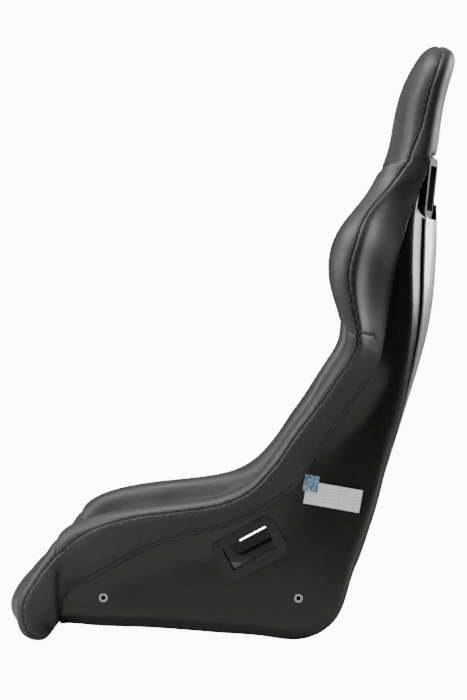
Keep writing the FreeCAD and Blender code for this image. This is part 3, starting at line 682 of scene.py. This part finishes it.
# Straight lines across a pad, laid on its outer side.
def channelLines(plan, mesh):
    tree = BVHTree.FromBMesh(mesh)
    low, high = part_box(plan["node"])
    axis, out = plan["axis"], Vector(plan["out"])
    lines = []
    for share in plan["channels"]:
        line = []
        half = high[0] - channelMarginMm * mm
        for index in range(round(2 * half / mm)):
            point = Vector(((low[0] + high[0]) / 2, (low[1] + high[1]) / 2, (low[2] + high[2]) / 2))
            point.x = -half + index * mm
            point[axis] = low[axis] + (high[axis] - low[axis]) * share
            hit = tree.ray_cast(point + out * 0.5, -out)[0]
            if hit is not None:
                line.append(hit)
        lines.append(line)
    return lines


for name, plan in padPlan.items():
    mesh = blownPad(name, plan)
    loosen(mesh, padSlack["heightMm"], padSlack["sizeMm"])
    lines = channelLines(plan, mesh)
    sew(mesh, lines, channelLook)
    threads = stitches(name + "Stitches", mesh, lines, channelLook)
    pad = objectFrom(name, mesh)
    pad.data.materials.append(leatherette)
    smoothFaces(pad)
    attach(pad, "root")
    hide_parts(plan["node"])
    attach(threads, "root")
print("pads done")


# Camera: level with the lower ribs, four metres to the occupant's left.
view = {"place": (4.045, 0.107, 0.561), "yaw": 1.47, "pitch": -1.9, "lens": 133.5}
cameraData = bpy.data.cameras.new("camera")
cameraData.sensor_width = 36
cameraData.lens = view["lens"]
camera = bpy.data.objects.new("camera", cameraData)
camera.location = view["place"]
camera.rotation_euler = (math.radians(90 + view["pitch"]), 0, math.radians(90 + view["yaw"]))
collection.objects.link(camera)
bpy.context.scene.camera = camera

# Studio: softboxes ahead of the seat and above it, a weaker one behind it on the far side, and a pale floor.
lightPlan = {
    "keySoftbox": {"place": (2.5, -2.2, 2.6), "target": (0.1, 0.1, 0.6), "size": (1.8, 1.8), "watts": 140},
    "frontSoftbox": {"place": (0.3, -3.4, 1.3), "target": (0, 0, 0.45), "size": (1.4, 1.8), "watts": 60},
    "topSoftbox": {"place": (0.2, -0.4, 3.0), "target": (0, 0, 0.5), "size": (1.8, 1.4), "watts": 80},
    "rearSoftbox": {"place": (-1.9, 2.4, 1.3), "target": (0, 0.25, 0.5), "size": (1.4, 1.8), "watts": 75},
}
for name, plan in lightPlan.items():
    data = bpy.data.lights.new(name, "AREA")
    data.shape = "RECTANGLE"
    data.size, data.size_y = plan["size"]
    data.energy = plan["watts"]
    light = bpy.data.objects.new(name, data)
    light.location = plan["place"]
    aim = Vector(plan["target"]) - Vector(plan["place"])
    light.rotation_euler = aim.to_track_quat("-Z", "Y").to_euler()
    collection.objects.link(light)

world = bpy.data.worlds.new("studio")
world.use_nodes = True
bpy.context.scene.world = world
sky = world.node_tree
sky.nodes.clear()
seen = addNode(sky, "ShaderNodeBackground", {"Color": toLinear("#ffffff"), "Strength": 12.0})
lit = addNode(sky, "ShaderNodeBackground", {"Color": toLinear("#ffffff"), "Strength": 0.05})
path = addNode(sky, "ShaderNodeLightPath")
both = addNode(sky, "ShaderNodeMixShader", links={
    0: path.outputs["Is Camera Ray"], 1: lit.outputs["Background"], 2: seen.outputs["Background"]})
addNode(sky, "ShaderNodeOutputWorld", links={"Surface": both.outputs["Shader"]})

# The floor is white paper, lifted towards the background only where the camera looks straight at it.
paper, paperTree, paperShader, _ = startMaterial("paperSweepMatt", {
    "Base Color": toLinear("#bcbcba"), "Roughness": 0.9})
glow = addNode(paperTree, "ShaderNodeEmission", {"Color": toLinear("#ffffff"), "Strength": 11.0})
lifted = addNode(paperTree, "ShaderNodeAddShader", links={0: paperShader.outputs["BSDF"],
                                                          1: glow.outputs["Emission"]})
looked = addNode(paperTree, "ShaderNodeLightPath")
chosen = addNode(paperTree, "ShaderNodeMixShader", links={
    0: looked.outputs["Is Camera Ray"], 1: paperShader.outputs["BSDF"], 2: lifted.outputs["Shader"]})
paperOut = next(node for node in paperTree.nodes if node.type == "OUTPUT_MATERIAL")
paperTree.links.new(chosen.outputs["Shader"], paperOut.inputs["Surface"])
paperHalfSize = 1.4
sweep = bmesh.new()
bmesh.ops.create_grid(sweep, x_segments=1, y_segments=1, size=paperHalfSize)
floor = objectFrom("floor", sweep)
floor.data.materials.append(paper)
print("studio done")
